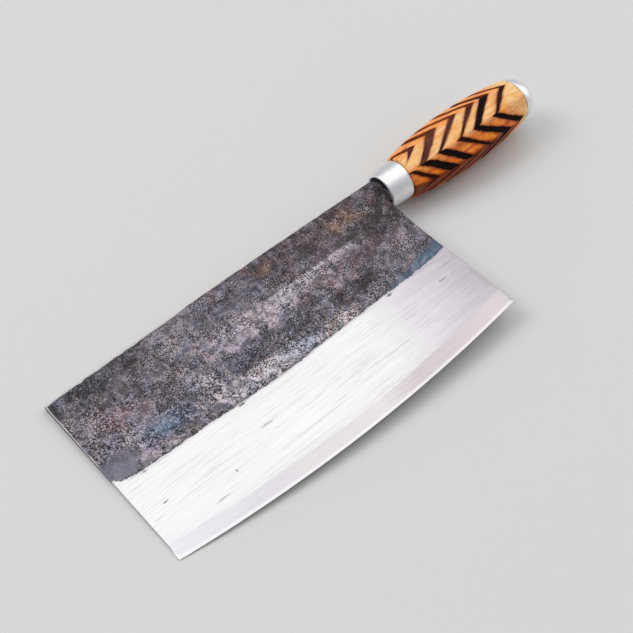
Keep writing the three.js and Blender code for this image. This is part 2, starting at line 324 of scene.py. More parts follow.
# Colours that the fire left on the scale: colour, place along the blade and below the spine, half length and
# half width in mm, and strength
colour = linear("#68626a")
stains = [
    ("#39363d", -167, 4, 32, 9, 0.9),
    ("#4d4950", -175, 14, 24, 8, 0.65),
    ("#6e6b71", -127, 11, 17, 10, 0.7),
    ("#88848a", -130, 11, 7, 7, 0.7),
    ("#4f4145", -42, 8, 62, 13, 0.9),
    ("#785c39", -27, 10, 12, 6, 0.5),
    ("#6c5238", -73, 7, 7, 4, 0.45),
    ("#606470", -92, 13, 18, 5, 0.6),
    ("#8f878e", -86, 25, 32, 6, 0.9),
    ("#40373a", -18, 23, 20, 8, 0.9),
    ("#7d666a", -171, 26, 13, 7, 0.75),
    ("#5d535b", -187, 27, 8, 7, 0.75),
    ("#6c6972", -182, 38, 11, 9, 0.7),
    ("#9a9298", -172, 44, 6, 9, 0.75),
    ("#5e6474", -156, 42, 17, 7, 0.8),
    ("#52647a", -156, 43, 14, 5, 0.6),
    ("#62587a", -163, 47, 7, 3, 0.55),
    ("#948e94", -132, 36, 8, 10, 0.85),
    ("#4b4b57", -112, 39, 15, 5, 0.85),
    ("#5a5861", -76, 40, 26, 5, 0.75),
    ("#6d5c65", -36, 30, 16, 5, 0.7),
    ("#3f353d", -49, 43, 14, 5, 0.95),
    ("#463b41", -30, 28, 10, 7, 0.85),
    ("#625860", -66, 30, 9, 4, 0.6),
    ("#8d7f87", -50, 33, 9, 5, 0.6),
    ("#776d72", -15, 38, 6, 8, 0.8),
    ("#989098", -106, 26, 16, 8, 0.7),
    ("#989097", -86, 29, 11, 5, 0.7),
    ("#9a9298", -126, 46, 12, 6, 0.75),
    ("#8b848a", -161, 51, 10, 3, 0.7),
    ("#aaa6aa", -106, 50, 24, 5, 0.9),
    ("#8b929f", -88, 50, 14, 4, 0.75),
    ("#aea4a3", -65, 51, 11, 4, 0.95),
    ("#79707a", -68, 46, 8, 4, 0.5),
]
blotch_size = 6
blotch = add(steel, "TexNoise", {"Vector": place, "Scale": 1 / blotch_size, "Detail": 6, "Roughness": 0.64})


def reach_from(spot_x, spot_depth, half_length, half_width, ragged, raggedness):
    """How far a place lies from the middle of a spot on the blade, in shares of the spot's half sizes, with a
    pattern added that makes the spot's rim ragged."""
    middle = (spot_x, spine_height / mm - spot_depth, 0)
    offset = add(steel, "VectorMath", {0: place, 1: middle}, operation="SUBTRACT")
    shares = (1 / half_length, 1 / half_width, 0)
    offset = add(steel, "VectorMath", {0: offset, 1: shares}, operation="MULTIPLY")
    reach = add(steel, "VectorMath", {0: offset}, "Value", operation="LENGTH")
    return add(steel, "Math", {0: ragged, 1: raggedness, 2: reach}, operation="MULTIPLY_ADD")


for stain, stain_x, stain_depth, half_length, half_width, strength in stains:
    reach = reach_from(stain_x, stain_depth, half_length, half_width, blotch, 3.2)
    share = add(steel, "MapRange", {"Value": reach, 1: 2.75, 2: 2.2, 3: 0, 4: strength})
    colour = add(steel, "Mix", {0: share, 6: colour, 7: linear(stain)}, 2, data_type="RGBA")

# Flaked layers of the scale: mottled patches, some smooth and some crusty, with dark rims, dark pits and
# shifts of hue. Its grain is drawn coarser than it is, so that it shows.
patch_size, mottle_size, hue_size = 9, 3.2, 6
grain_size, pit_size = 0.7, 1.3
tone = add(steel, "TexNoise", {
    "Vector": place, "Scale": 1 / patch_size, "Detail": 5, "Roughness": 0.55, "Distortion": 0.8})
patch = add(steel, "MapRange", {"Value": tone, 1: 0.5, 2: 0.512, 3: 0, 4: 1})
patch_light = add(steel, "MapRange", {"Value": patch, 1: 0, 2: 1, 3: 0.75, 4: 1.28})
rim = add(steel, "Math", {0: tone, 1: 0.49}, operation="SUBTRACT")
rim = add(steel, "Math", {0: rim}, operation="ABSOLUTE")
rim_dark = add(steel, "MapRange", {"Value": rim, 1: 0.002, 2: 0.016, 3: 0.55, 4: 1})
mottle = add(steel, "TexNoise", {"Vector": place, "Scale": 1 / mottle_size, "Detail": 5, "Roughness": 0.6})
mottle_light = add(steel, "MapRange", {"Value": mottle, 1: 0.32, 2: 0.68, 3: 0.86, 4: 1.14})
flake_light = add(steel, "MapRange", {"Value": mottle, 1: 0.47, 2: 0.485, 3: 0.66, 4: 1.13})
grain = add(steel, "TexNoise", {"Vector": place, "Scale": 1 / grain_size, "Detail": 2, "Roughness": 0.6})
coarse = add(steel, "MapRange", {"Value": grain, 1: 0.41, 2: 0.59, 3: 0, 4: 2.3})
fine = add(steel, "MapRange", {"Value": grain, 1: 0.41, 2: 0.59, 3: 0.62, 4: 1.38})
light = add(steel, "Mix", {0: patch, 2: coarse, 3: fine})
pits = add(steel, "TexNoise", {"Vector": place, "Scale": 1 / pit_size, "Detail": 2, "Roughness": 0.6})
pit_dark = add(steel, "MapRange", {"Value": pits, 1: 0.58, 2: 0.62, 3: 1.06, 4: 0.45})
for factor in (patch_light, mottle_light, flake_light, rim_dark, pit_dark):
    light = add(steel, "Math", {0: light, 1: factor}, operation="MULTIPLY")
hue = add(steel, "TexNoise", {"Vector": place, "Scale": 1 / hue_size, "Detail": 3, "Roughness": 0.55})
hue = add(steel, "ValToRGB", {"Fac": hue}, stops=[
    (0.36, "#84593f"), (0.45, "#7c6468"), (0.54, "#6e647d"), (0.63, "#576d88")])
colour = add(steel, "Mix", {0: 0.17, 6: colour, 7: hue}, 2, data_type="RGBA", blend_type="COLOR")

# The forging step: painted shade in a dark line above it and a painted highlight in a light band below it,
# so that the low step shows
along = add(steel, "SeparateXYZ", {"Vector": place}, "X")
across = add(steel, "SeparateXYZ", {"Vector": place}, "Y")
step_reach = add(steel, "MapRange", {"Value": along, 1: -118, 2: -62, 3: 0, 4: 1})
step_end = add(steel, "MapRange", {"Value": along, 1: -22, 2: -36, 3: 0, 4: 1})
step_reach = add(steel, "Math", {0: step_reach, 1: step_end}, operation="MULTIPLY")
step_wander = 1.8
step_y = (spine_height - flat_band_width) / mm + step_wander / 2
from_step = add(steel, "Math", {0: blotch, 1: step_wander, 2: across}, operation="MULTIPLY_ADD")
from_step = add(steel, "Math", {0: step_y, 1: from_step}, operation="SUBTRACT")
# The first entry is the painted highlight below the step, the second the painted shade above it
for near, fade_start, fade_end, step_shading_colour, strength in [
        (0.3, 1.5, 8, "#a1989e", 0.6), (-0.3, -0.6, -4, "#453b3e", 0.6)]:
    share = add(steel, "MapRange", {"Value": from_step, 1: 0, 2: near, 3: 0, 4: strength})
    fade = add(steel, "MapRange", {"Value": from_step, 1: fade_start, 2: fade_end, 3: 1, 4: 0})
    share = add(steel, "Math", {0: share, 1: fade}, operation="MULTIPLY")
    share = add(steel, "Math", {0: share, 1: step_reach}, operation="MULTIPLY")
    colour = add(steel, "Mix", {0: share, 6: colour, 7: linear(step_shading_colour)}, 2, data_type="RGBA")
colour = add(steel, "VectorMath", {0: colour, "Scale": light}, operation="SCALE")

# Light flakes, strewn thinly over the scale and close together in a few clusters: place along the blade and
# below the spine, and reach, in mm
speck_size, cluster_fade, upper_face = 0.7, 9, 1.5
clusters = [(-181, 20, 11), (-15, 38, 7), (-72, 23, 10), (-168, 38, 6), (-182, 44, 4)]
speck = add(steel, "TexNoise", {"Vector": place, "Scale": 1 / speck_size, "Detail": 1})
speck = add(steel, "MapRange", {"Value": speck, 1: 0.58, 2: 0.65, 3: 0, 4: 1})
strewn = add(steel, "MapRange", {"Value": mottle, 1: 0.5, 2: 0.64, 3: 0, 4: 0.75})
strewn = add(steel, "Math", {0: speck, 1: strewn}, operation="MULTIPLY")
colour = add(steel, "Mix", {0: strewn, 6: colour, 7: linear("#bdb2b4")}, 2, data_type="RGBA")
for cluster_x, cluster_depth, cluster_reach in clusters:
    middle = (cluster_x, spine_height / mm - cluster_depth, upper_face)
    reach = add(steel, "VectorMath", {0: place, 1: middle}, "Value", operation="DISTANCE")
    reach = add(steel, "Math", {0: blotch, 1: 2 * cluster_fade, 2: reach}, operation="MULTIPLY_ADD")
    share = add(steel, "MapRange", {
        "Value": reach, 1: cluster_reach + cluster_fade, 2: cluster_reach, 3: 0, 4: 0.7})
    share = add(steel, "Math", {0: speck, 1: share}, operation="MULTIPLY")
    colour = add(steel, "Mix", {0: share, 6: colour, 7: linear("#d6d0d1")}, 2, data_type="RGBA")

# Edges worn bright along the spine and, in a narrower line, down the toe, and the toe's end face painted
# dark, partly for its black scale and partly as painted shade
toe_narrowing = 2.5
from_spine = add(steel, "Attribute", {}, "Fac", attribute_name="below_spine")
from_toe = add(steel, "Math", {0: along, 1: blade_length / mm}, operation="ADD")
from_rim = add(steel, "Math", {0: from_toe, 1: toe_narrowing}, operation="MULTIPLY")
from_rim = add(steel, "Math", {0: from_spine, 1: from_rim}, operation="MINIMUM")
worn = add(steel, "Math", {0: blotch, 1: 2.4, 2: from_rim}, operation="MULTIPLY_ADD")
worn_reach = add(steel, "MapRange", {"Value": along, 1: -122, 2: -104, 3: -0.3, 4: 0.5})
worn = add(steel, "Math", {0: worn, 1: worn_reach}, operation="ADD")
worn = add(steel, "MapRange", {"Value": worn, 1: 2.1, 2: 1.7, 3: 0, 4: 0.9})
colour = add(steel, "Mix", {0: worn, 6: colour, 7: linear("#cfcaca")}, 2, data_type="RGBA")
# The toe's end face: dark, partly for its black scale and partly as painted shade
toe_end_scale_and_shade = add(steel, "MapRange", {"Value": from_toe, 1: 0.1, 2: 0.05, 3: 0, 4: 0.9})
colour = add(steel, "Mix", {0: toe_end_scale_and_shade, 6: colour, 7: linear("#343136")}, 2, data_type="RGBA")

# Heat tint: a blue band that follows the grind line at the heel, and a slate grey spot at the toe
band = add(steel, "Math", {0: blotch, 1: 5, 2: below}, operation="MULTIPLY_ADD")
band_top = add(steel, "MapRange", {"Value": along, 1: -40, 2: 0, 3: -1, 4: -5.5})
band = add(steel, "Math", {0: band, 1: band_top}, operation="SUBTRACT")
band_in = add(steel, "MapRange", {"Value": band, 1: 0.3, 2: 2.6, 3: 0, 4: 1})
band_reach = add(steel, "MapRange", {"Value": along, 1: -50, 2: -32, 3: 0, 4: 0.85})
band = add(steel, "Math", {0: band_in, 1: band_reach}, operation="MULTIPLY")
blue = add(steel, "ValToRGB", {"Fac": tone}, stops=[(0.38, "#3f4d5c"), (0.5, "#4b6379"), (0.62, "#808d99")])
colour = add(steel, "Mix", {0: band, 6: colour, 7: blue}, 2, data_type="RGBA")
slate_x, slate_depth, slate_half_length, slate_half_width = -186, 46, 12.5, 7.5
spot = reach_from(slate_x, slate_depth, slate_half_length, slate_half_width, blotch, 2.2)
spot = add(steel, "MapRange", {"Value": spot, 1: 2.25, 2: 1.9, 3: 0, 4: 0.8})
slate = add(steel, "ValToRGB", {"Fac": tone}, stops=[(0.35, "#615f6a"), (0.65, "#777582")])
colour = add(steel, "Mix", {0: spot, 6: colour, 7: slate}, 2, data_type="RGBA")

# Ground half: lines of the stone along the blade, drawn wider than they are so that they show
line_length, line_width, scratch_length, scratch_width = 45, 0.7, 16, 0.6
along_lines = (1 / line_length, 1 / line_width, 0)
along_scratches = (1 / scratch_length, 1 / scratch_width, 0)
stretched = add(steel, "VectorMath", {0: place, 1: along_lines}, operation="MULTIPLY")
lines = add(steel, "TexNoise", {"Vector": stretched, "Scale": 1, "Detail": 4, "Roughness": 0.6})
bright = add(steel, "ValToRGB", {"Fac": lines}, stops=[
    (0.28, "#bdbbbc"), (0.42, "#d7d5d6"), (0.7, "#dedcdd")])
stretched = add(steel, "VectorMath", {0: place, 1: along_scratches}, operation="MULTIPLY")
scratch = add(steel, "TexNoise", {"Vector": stretched, "Scale": 1, "Detail": 2, "Roughness": 0.5})
scratch = add(steel, "MapRange", {"Value": scratch, 1: 0.6, 2: 0.76, 3: 0, 4: 0.4})
bright = add(steel, "Mix", {0: scratch, 6: bright, 7: linear("#77736f")}, 2, data_type="RGBA")

# Towards the heel the ground half is coloured greyer and darker, most of all beside the heel's edge
toe_x, heel_greying_wander = -blade_length / mm, 14
heel_greying = add(steel, "Math", {0: blotch, 1: heel_greying_wander, 2: along}, operation="MULTIPLY_ADD")
heel_greying = add(steel, "MapRange", {"Value": heel_greying, 1: toe_x, 2: heel_greying_wander, 3: 0, 4: 1})
heel_greying = add(steel, "ValToRGB", {"Fac": heel_greying}, stops=[
    (0.67, "#ffffff"), (0.77, "#efecf0"), (0.9, "#d8d3d8"), (0.95, "#cec9ce"), (0.985, "#b5aeb4")])
bright = add(steel, "Mix", {0: 1, 6: bright, 7: heel_greying}, 2, data_type="RGBA", blend_type="MULTIPLY")

# Edge bevel: finer stone, a little darker and warmer, which runs out softly above it, then the honed line
bevel_width = add(steel, "MapRange", {"Value": along, 1: -70, 2: 0, 3: 8.1, 4: 9.2})
bevel = add(steel, "Math", {0: above, 1: bevel_width}, operation="SUBTRACT")
bevel = add(steel, "Math", {0: blotch, 1: 2, 2: bevel}, operation="MULTIPLY_ADD")
bevel = add(steel, "MapRange", {"Value": bevel, 1: 1.4, 2: 0.5, 3: 0, 4: 0.65})
beside = add(steel, "MapRange", {"Value": above, 1: 15, 2: 8, 3: 0, 4: 0.2})
bevel = add(steel, "Math", {0: bevel, 1: beside}, operation="MAXIMUM")
bevel_share = add(steel, "MapRange", {"Value": along, 1: toe_x, 2: 0, 3: 0, 4: 1})
bevel_tint = add(steel, "ValToRGB", {"Fac": bevel_share}, stops=[
    (0, "#c9c8d0"), (0.12, "#c4c0c7"), (0.22, "#bbb6bc"), (0.45, "#beb8bc"), (0.57, "#c7bec3"),
    (0.69, "#ab9ea4"), (0.8, "#b7abae"), (0.94, "#ccc2c6")])
bright = add(steel, "Mix", {0: bevel, 6: bright, 7: bevel_tint}, 2, data_type="RGBA")
honed = add(steel, "MapRange", {"Value": above, 1: 1.5, 2: 1.1, 3: 0, 4: 0.55})
bright = add(steel, "Mix", {0: honed, 6: bright, 7: linear("#e4e1e3")}, 2, data_type="RGBA")

# Nicks and dark scratches that the stone didn't take out: place along the blade and below the spine, half
# length and half width in mm, and strength
nicks = [
    (-178.7, 70.7, 2.4, 0.5, 0.7),
    (-147.8, 78.7, 0.6, 1, 0.7),
    (-16, 65, 3.6, 0.5, 0.5),
    (-124, 70, 5, 0.8, 0.35),
    (-160, 85, 5, 0.6, 0.4),
    (-40, 55.4, 2, 0.9, 0.85),
    (-126, 55.6, 2.4, 0.8, 0.8),
    (-177, 53.8, 2, 0.7, 0.75),
]
for nick_x, nick_depth, half_length, half_width, strength in nicks:
    reach = reach_from(nick_x, nick_depth, half_length, half_width, grain, 2)
    share = add(steel, "MapRange", {"Value": reach, 1: 1.9, 2: 1.4, 3: 0, 4: strength})
    bright = add(steel, "Mix", {0: share, 6: bright, 7: linear("#3f3a39")}, 2, data_type="RGBA")

# The ragged line where the scale was ground off, with a dark line along it that is painted shadow of the
# scale's step, and below it some streaks of scale that the stone only thinned
ragged_size = 2.4
ragged = add(steel, "TexNoise", {"Vector": place, "Scale": 1 / ragged_size, "Detail": 6, "Roughness": 0.72})
ragged = add(steel, "Math", {0: ragged, 1: 4, 2: -2}, operation="MULTIPLY_ADD")
from_line = add(steel, "Math", {0: below, 1: ragged}, operation="ADD")
ground = add(steel, "MapRange", {"Value": from_line, 1: -0.12, 2: 0.12, 3: 0, 4: 1})
grind_line_shadow = add(steel, "Math", {0: from_line, 1: -0.3, 2: 0.28}, operation="COMPARE")
left_over = add(steel, "Math", {0: lines, 1: -9, 2: below}, operation="MULTIPLY_ADD")
left_over = add(steel, "MapRange", {"Value": left_over, 1: -4.6, 2: -3.8, 3: 0.6, 4: 0})
bright = add(steel, "Mix", {0: left_over, 6: bright, 7: linear("#6f6a6c")}, 2, data_type="RGBA")
colour = add(steel, "Mix", {0: ground, 6: colour, 7: bright}, 2, data_type="RGBA")
# Painted shadow: a dark line along the scale's step at the grind line
grind_line_shadow_share = add(steel, "MapRange", {"Value": blotch, 1: 0.42, 2: 0.55, 3: 0.1, 4: 0.75})
grind_line_shadow = add(steel, "Math", {0: grind_line_shadow, 1: grind_line_shadow_share}, operation="MULTIPLY")
colour = add(steel, "Mix", {0: grind_line_shadow, 6: colour, 7: linear("#3a3536")}, 2, data_type="RGBA")

# Scale is rough, bumpy and hardly metallic, the ground half is smooth bare metal
bump_height = 0.12 * mm
scale_roughness = add(steel, "MapRange", {"Value": grain, 1: 0.3, 2: 0.7, 3: 0.68, 4: 0.48})
ground_roughness = add(steel, "MapRange", {"Value": lines, 1: 0.3, 2: 0.7, 3: 0.4, 4: 0.34})
roughness = add(steel, "Mix", {0: ground, 2: scale_roughness, 3: ground_roughness})
metallic = add(steel, "MapRange", {"Value": ground, 1: 0, 2: 1, 3: 0.25, 4: 1})
scale_height = add(steel, "Math", {0: tone, 1: 2, 2: grain}, operation="MULTIPLY_ADD")
height = add(steel, "Mix", {0: ground, 2: scale_height, 3: lines})
bumps = add(steel, "MapRange", {"Value": ground, 1: 0, 2: 1, 3: 0.6, 4: 0.03})
normal = add(steel, "Bump", {"Strength": bumps, "Distance": bump_height, "Height": height})
for socket, value in {
    "Base Color": colour, "Roughness": roughness, "Metallic": metallic, "Normal": normal}.items():
    steel.links.new(value, shader.inputs[socket])


# Bedding resin
# Dark pitch, poured hot into the ferrule's mouth and the bore of the grip, so that the neck and the tang sit
# firm in the wood. Only its sunken face round the neck shows.
merge_distance = 0.002 * mm


def turn_rings(profile, sides=144):
    """Turns a closed profile of (x, radius) in mm about the handle's axis, ring after ring."""
    x, radius = profile[0]
    bpy.ops.object.select_all(action="DESELECT")
    bpy.ops.mesh.primitive_circle_add(
        vertices=sides, radius=radius * mm, location=(x * mm, 0, 0), rotation=(0, math.pi / 2, 0))
    turned = bpy.context.object
    bpy.ops.object.transform_apply(location=True, rotation=True, scale=True)
    bpy.ops.object.mode_set(mode="EDIT")
    bpy.ops.mesh.select_mode(type="EDGE")
    bpy.ops.mesh.select_all(action="SELECT")
    for next_x, next_radius in [*profile[1:], profile[0]]:
        bpy.ops.mesh.extrude_region_move(TRANSFORM_OT_translate={"value": ((next_x - x) * mm, 0, 0)})
        grown = next_radius / radius
        bpy.ops.transform.resize(value=(1, grown, grown), center_override=(next_x * mm, 0, 0))
        x, radius = next_x, next_radius
    bpy.ops.mesh.select_all(action="SELECT")
    bpy.ops.mesh.remove_doubles(threshold=merge_distance)
    bpy.ops.mesh.normals_make_consistent(inside=False)
    bpy.ops.object.mode_set(mode="OBJECT")
    return turned


# The places and bores that hold the pitch, and its own sizes, in mm
ferrule_front, ferrule_bore = -0.9, 7.9
spigot_front, spigot_rear, grip_bore = 5.3, 92, 5.8
seat_gap, overcut = 0.3, 1
neck_slot_end = spigot_front - 0.5
resin_sunk, resin_dish, dish_steps, core_radius, small_sides = 2, 0.5, 6, 2, 96
resin_face, resin_radius = ferrule_front + resin_sunk, ferrule_bore - seat_gap
dish = []
for step in range(dish_steps + 1):
    share = step / dish_steps
    dish_radius = core_radius + (resin_radius - core_radius) * share
    dish.append((resin_face + resin_dish * (1 - share) ** 2, dish_radius))
resin = turn_rings([
    *dish,
    (spigot_front - seat_gap, resin_radius),
    (spigot_front - seat_gap, grip_bore - seat_gap),
    (spigot_rear - seat_gap, grip_bore - seat_gap),
    (spigot_rear - seat_gap, core_radius),
], small_sides)


def slot_for_tang(piece, start_x, end_x, half_height):
    """Cuts the flat slot that the tang goes through, larger than the tang by the gap of its seat."""
    bpy.ops.object.select_all(action="DESELECT")
    middle = ((start_x + end_x) / 2 * mm, 0, 0)
    bpy.ops.mesh.primitive_cube_add(size=1, location=middle)
    cutter = bpy.context.object
    slot_height, slot_width = 2 * (half_height + seat_gap), 2 * (tang_half_thickness + seat_gap)
    cutter.scale = ((end_x - start_x) * mm, slot_height * mm, slot_width * mm)
    choose(piece)
    cut = piece.modifiers.new("slot", "BOOLEAN")
    cut.operation = "DIFFERENCE"
    cut.object = cutter
    bpy.ops.object.modifier_apply(modifier=cut.name)
    bpy.data.objects.remove(cutter)


slot_for_tang(resin, resin_face - overcut, neck_slot_end, neck_half_height)
slot_for_tang(resin, resin_face - overcut, spigot_rear + overcut, shoulder_half_height)
lay_down(resin, "bedding_pitch", 30)
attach(resin, "root")
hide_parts("bedding_resin")

# Pitch is a black brown thermoplastic with ground filler: the eye sees a dull, slightly lumpy dark face
pitch, shader, place = finish_of(resin, "filled_pitch")
lump_size, lump_height = 0.8, 0.2 * mm
lumps = add(pitch, "TexNoise", {"Vector": place, "Scale": 1 / lump_size, "Detail": 4})
colour = add(pitch, "ValToRGB", {"Fac": lumps}, stops=[(0.35, "#100d0b"), (0.65, "#2b231d")])
normal = add(pitch, "Bump", {"Strength": 0.5, "Distance": lump_height, "Height": lumps})
pitch.links.new(colour, shader.inputs["Base Color"])
pitch.links.new(normal, shader.inputs["Normal"])
shader.inputs["Roughness"].default_value = 0.6

# Ferrule
# A collar turned from aluminium bar, a little tapered and bowed, pressed over the front spigot of the grip.
# Its front lip is rounded and its mouth is open round the neck.
ferrule_rear, ferrule_front_radius, ferrule_rear_radius, ferrule_swell = 12, 9.3, 10, 0.25
lip_round, edge_break, ferrule_steps = 0.6, 0.3, 14


def arc(middle_x, middle_radius, reach, start, end, steps):
    """Points of a rounded corner in a profile. Angles run from +X towards larger radii, in degrees."""
    angles = [math.radians(start + (end - start) * step / steps) for step in range(steps + 1)]
    return [(middle_x + reach * math.cos(a), middle_radius + reach * math.sin(a)) for a in angles]


side_start, side_end = ferrule_front + lip_round, ferrule_rear - edge_break
ferrule_side = []
for step in range(1, ferrule_steps + 1):
    share = step / ferrule_steps
    taper = ferrule_front_radius + (ferrule_rear_radius - ferrule_front_radius) * share
    bow = ferrule_swell * math.sin(math.pi * share)
    ferrule_side.append((side_start + (side_end - side_start) * share, taper + bow))
ferrule = turn_rings([
    (ferrule_rear, ferrule_bore),
    (ferrule_front + edge_break, ferrule_bore),
    *arc(ferrule_front + edge_break, ferrule_bore + edge_break, edge_break, 225, 180, 3),
    *arc(side_start, ferrule_front_radius - lip_round, lip_round, 180, 90, 6),
    *ferrule_side,
    (ferrule_rear, ferrule_rear_radius - edge_break),
])
lay_down(ferrule, "turned_ferrule", 35)
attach(ferrule, "root")
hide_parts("ferrule")


def turned_aluminium(piece, name):
    """Turned and rubbed aluminium: a pale satin metal with faint rings of the tool and a few handling marks.
    The rings are drawn at a quarter of a millimetre, wider than they are, so that they show."""
    ring_width, ring_length, mark_size, ring_height = 0.25, 40, 3, 0.1 * mm
    tree, shader, place = finish_of(piece, name)
    round_rings = (1 / ring_width, 1 / ring_length, 1 / ring_length)
    rings = add(tree, "VectorMath", {0: place, 1: round_rings}, operation="MULTIPLY")
    rings = add(tree, "TexNoise", {"Vector": rings, "Scale": 1, "Detail": 2})
    marks = add(tree, "TexNoise", {"Vector": place, "Scale": 1 / mark_size, "Detail": 5, "Roughness": 0.65})
    colour = add(tree, "ValToRGB", {"Fac": marks}, stops=[
        (0.3, "#e4e5e8"), (0.5, "#eff0f2"), (0.75, "#f6f6f7")])
    roughness = add(tree, "MapRange", {"Value": marks, 1: 0.3, 2: 0.7, 3: 0.52, 4: 0.42})
    height = add(tree, "Math", {0: marks, 1: 0.6, 2: rings}, operation="MULTIPLY_ADD")
    normal = add(tree, "Bump", {"Strength": 0.12, "Distance": ring_height, "Height": height})
    shader.inputs["Metallic"].default_value = 1
    for socket, value in {"Base Color": colour, "Roughness": roughness, "Normal": normal}.items():
        tree.links.new(value, shader.inputs[socket])


turned_aluminium(ferrule, "turned_aluminium_ferrule")

# Grip
# One length of pale hardwood, planed eight-sided and barrel shaped, bored for the tang, with a round spigot
# at each end. Chevrons are carved round it by hand with a flat gouge and scorched dark with a hot iron.
grip_front, grip_rear, cap_bore = ferrule_rear + seat_gap, 89.4, 9.6
ridge_angles = (34.5, 81.5, 126.5, 171.5, 216.5, 261.5, 306.5, 347.5, 394.5)
grip_ridges = [math.radians(angle) for angle in ridge_angles]
grip_sides = 8
belly_radius, belly_x = 15.4, grip_front + 37
front_radius, rear_radius = 11.6, 11.9
ridge_ease, ridge_ease_width = 0.35, 1.6
end_ease, end_ease_width = 0.5, 0.8
plane_wander, plane_mark = 0.06, 9
along_count, side_count = 190, 28
groove_depth, groove_wall, groove_ragged, ragged_length = 0.45, 0.4, 0.28, 1.7
front_wander, width_wander = 0.4, 0.5
ridge_toast, ridge_toast_width, ridge_toast_wander, ridge_toast_length = 0.5, 2.4, 1.6, 4
pale_end, pale_fade = 4, 12
hand_slip, hand_share, far_outside = 1, 0.2, -9
# How brown each facet is painted beside its bands, partly for the iron's toasting and partly as painted shade
# on the facets turned away from the light: 1 is brown, more is scorched
facet_toast_and_shade = [1, 1.7, 0.8, 0.3, 0.9, 0.6, 0.75, 0.15]
# Arms of the chevrons on the upper facets: front edge on the ridge at the point and on the ridge at the
# notch, the width on both, in mm, and how black the band is burnt
top_arms = [
    (8, 19, 1, 4, 0.2), (19.5, 31.5, 3.2, 6, 0.2), (29, 46.9, 3, 4, 0.1),
    (41.5, 58.7, 2.8, 4.5, 0.2), (53, 67.7, 3.6, 6, 0.4), (66, 81.2, 3, 3.8, 0.4)]
left_arms = [
    (9.1, 19.1, -6.5, 4.3, 0.3), (17.3, 31.2, 3.6, 6.5, 0.1), (28.6, 46.9, 2.4, 4, 0.2),
    (42.7, 58.7, 1, 4.7, 0.35), (52.3, 67.7, 4.6, 6, 1), (67.7, 81.2, 2.2, 3.8, 0.85)]
right_arms = [
    (11.6, 23, 2, 3.4, 0.8), (18.4, 32.3, 5, 6.4, 1), (29.2, 43, 4.4, 4.8, 1),
    (41, 58, 3.8, 1.8, 0.9), (51.6, 69.4, 4.6, 5.8, 1), (65, 80.2, 3.8, 4.8, 1)]


def grip_radius(x):
    reach, end = (belly_x - grip_front, front_radius) if x < belly_x else (grip_rear - belly_x, rear_radius)
    return belly_radius - (belly_radius - end) * ((x - belly_x) / reach) ** 2


# The hidden facets repeat the arms, each a little otherwise, as a hand carves them
hand = random.Random(5)
facet_arms = [right_arms]
for facet in range(1, 6):
    arms = []
    for point, notch, point_width, notch_width, black in left_arms if facet % 2 else right_arms:
        point += hand.uniform(-hand_slip, hand_slip)
        notch += hand.uniform(-hand_slip, hand_slip)
        point_width *= hand.uniform(1 - hand_share, 1 + hand_share)
        notch_width *= hand.uniform(1 - hand_share, 1 + hand_share)
        arms.append((point, notch, point_width, notch_width, black))
    facet_arms.append(arms)
facet_arms += [top_arms, left_arms]


def share_to_notch(facet, across):
    """Share across a facet, from the ridge with the chevrons' points to that with their notches."""
    return across if facet % 2 == 0 else 1 - across


def nearest_band(facet, x, across):
    """How deep a place lies inside the nearest band of a facet, square to its edge in mm, less than 0 outside
    it, and how black that band is."""
    to_notch = share_to_notch(facet, across)
    facet_width = 2 * grip_radius(x) * math.sin(math.pi / grip_sides)
    ragged = groove_ragged * min(facet_toast_and_shade[facet], 1)
    ragged *= noise.noise(Vector((x / ragged_length, across * 7, facet * 3.3)))
    nearest = (far_outside, 0)
    for arm, (point, notch, point_width, notch_width, black) in enumerate(facet_arms[facet]):
        width = point_width + (notch_width - point_width) * to_notch
        front = point + (notch - point) * to_notch
        front += front_wander * noise.noise(Vector((to_notch * 3, arm * 7.3, facet * 5.1)))
        width += width_wander * noise.noise(Vector((to_notch * 4, arm * 3.7, facet * 9.1)))
        square = facet_width / math.hypot(facet_width, notch - point)
        nearest = max(nearest, (min(x - front, front + width - x) * square + ragged, black))
    return nearest


